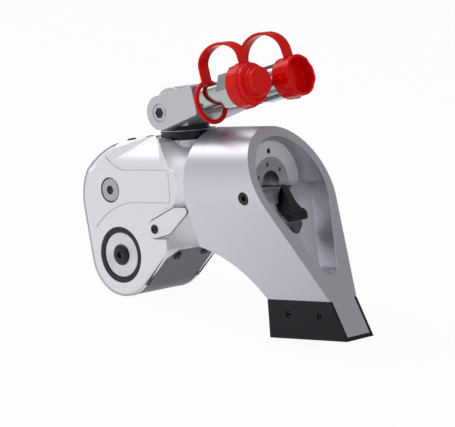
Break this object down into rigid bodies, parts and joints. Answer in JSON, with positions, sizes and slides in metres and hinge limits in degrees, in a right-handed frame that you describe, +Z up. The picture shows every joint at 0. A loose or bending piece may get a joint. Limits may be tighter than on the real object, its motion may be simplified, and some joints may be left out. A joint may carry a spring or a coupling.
{
  "type": "hydraulic torque wrench",
  "caption": "Square-drive hydraulic torque wrench with ratchet head, splined reaction arm, tilting hose swivel and capped quick couplers.",
  "frame": {"origin": "centre of the square drive's shoulder, on the drive axis", "axes": "+Y along the drive axis out of the square drive, +Z up when the tool stands on its nose and foot, +X towards the reaction arm"},
  "size_m": [0.2849, 0.1085, 0.2355],
  "materials": {
    "satin_aluminium": "bead-blasted satin",
    "shroud_grey": "satin dark grey paint",
    "black_oxide": "black oxide",
    "zinc_plate": "bright zinc plate",
    "hardened_steel": "ground steel",
    "retainer_steel": "fine turned",
    "spring_steel": "drawn wire",
    "bush_bronze": "turned",
    "seal_rubber": "moulded",
    "brushed_aluminium": "brushed satin",
    "boot_black": "satin black",
    "swivel_grey": "matte blasted",
    "red_pvc": "glossy moulded"
  },
  "bodies": {
    "housing_body": {"housing": "satin_aluminium", "shroud": "shroud_grey", "shroud_screws": "black_oxide", "drive_bush_near": "black_oxide", "drive_bush_far": "black_oxide", "pin_access_plug": "hardened_steel", "rod_bush": "bush_bronze", "rod_seal": "seal_rubber", "gland_nut": "retainer_steel", "gland_seal": "seal_rubber", "grub_screw": "black_oxide"},
    "piston_body": {"piston": "hardened_steel", "piston_seal": "seal_rubber", "piston_rod": "hardened_steel", "rod_pin": "hardened_steel"},
    "drive_lever": {"drive_plate_near": "hardened_steel", "drive_plate_far": "hardened_steel", "plate_tie_pin": "hardened_steel", "drive_segment": "hardened_steel", "segment_pin": "hardened_steel", "segment_springs": "spring_steel"},
    "drive": {"ratchet": "hardened_steel", "square_drive": "hardened_steel", "drive_retainer": "retainer_steel", "retainer_screw": "black_oxide"},
    "anti_reverse": {"pawl": "hardened_steel", "pawl_shaft": "hardened_steel", "release_lever": "satin_aluminium", "lever_screw": "black_oxide", "pawl_spring": "spring_steel"},
    "arm": {"reaction_arm": "brushed_aluminium", "reaction_boot": "boot_black", "boot_screws": "black_oxide", "lock_pin": "black_oxide", "lock_spring": "spring_steel"},
    "lock": {"lock_lever": "black_oxide"},
    "swivel": {"swivel_base": "black_oxide", "swivel_post": "swivel_grey", "swivel_seals": "seal_rubber", "swivel_ring": "hardened_steel", "pivot_bolts": "zinc_plate"},
    "coupler_block": {"swivel_block": "swivel_grey", "coupler_near": "zinc_plate", "coupler_far": "zinc_plate", "strap_near": "red_pvc", "strap_far": "red_pvc"},
    "sleeve": {"sleeve_far": "zinc_plate"},
    "near_cap": {"cap_near": "red_pvc"},
    "far_cap": {"cap_far": "red_pvc"}
  },
  "joints": [
    {"name": "piston_stroke", "type": "slide", "parent": "housing_body", "child": "piston_body", "axis": [-0.9789, 0, -0.2042], "range_m": [0, 0.02423]},
    {"name": "drive_swing", "type": "hinge", "parent": "housing_body", "child": "drive_lever", "pos_m": [0, -0.0355, 0], "axis": [0, -1, 0], "range_deg": [0, 24]},
    {"name": "drive_index", "type": "hinge", "parent": "drive_lever", "child": "drive", "pos_m": [0, -0.0355, 0], "axis": [0, 1, 0], "continuous": true},
    {"name": "release_lever_swing", "type": "hinge", "parent": "housing_body", "child": "anti_reverse", "pos_m": [0.03752, -0.0355, 0.03071], "axis": [0, 1, 0], "range_deg": [0, 12], "stiffness_Nm_per_rad": 0.6, "springref_deg": -8.59},
    {"name": "arm_pull", "type": "slide", "parent": "housing_body", "child": "arm", "axis": [0.9789, 0, 0.2042], "range_m": [0, 0.054]},
    {"name": "lock_lever_swing", "type": "hinge", "parent": "arm", "child": "lock", "pos_m": [0.13965, -0.0355, 0.0798], "axis": [0, 1, 0], "range_deg": [0, 14], "stiffness_Nm_per_rad": 0.3, "springref_deg": -8.59},
    {"name": "swivel_turn", "type": "hinge", "parent": "housing_body", "child": "swivel", "pos_m": [0.0344, -0.0355, 0.10933], "axis": [-0.2042, 0, 0.9789], "continuous": true},
    {"name": "block_tilt", "type": "hinge", "parent": "swivel", "child": "coupler_block", "pos_m": [0.03072, -0.0355, 0.12695], "axis": [0, -1, 0], "range_deg": [-3, 130]},
    {"name": "sleeve_spin", "type": "hinge", "parent": "coupler_block", "child": "sleeve", "pos_m": [0.10888, -0.0145, 0.16287], "axis": [0.9158, 0, 0.4017], "continuous": true},
    {"name": "near_cap_pull", "type": "slide", "parent": "coupler_block", "child": "near_cap", "axis": [0.9158, 0, 0.4017], "range_m": [0, 0.026], "deforming": ["strap_near"]},
    {"name": "far_cap_pull", "type": "slide", "parent": "coupler_block", "child": "far_cap", "axis": [0.9158, 0, 0.4017], "range_m": [0, 0.01], "deforming": ["strap_far"]}
  ],
  "couplings": [
    {"joint": "drive_swing", "follows": "piston_stroke", "rad_per_m": 17.287}
  ]
}
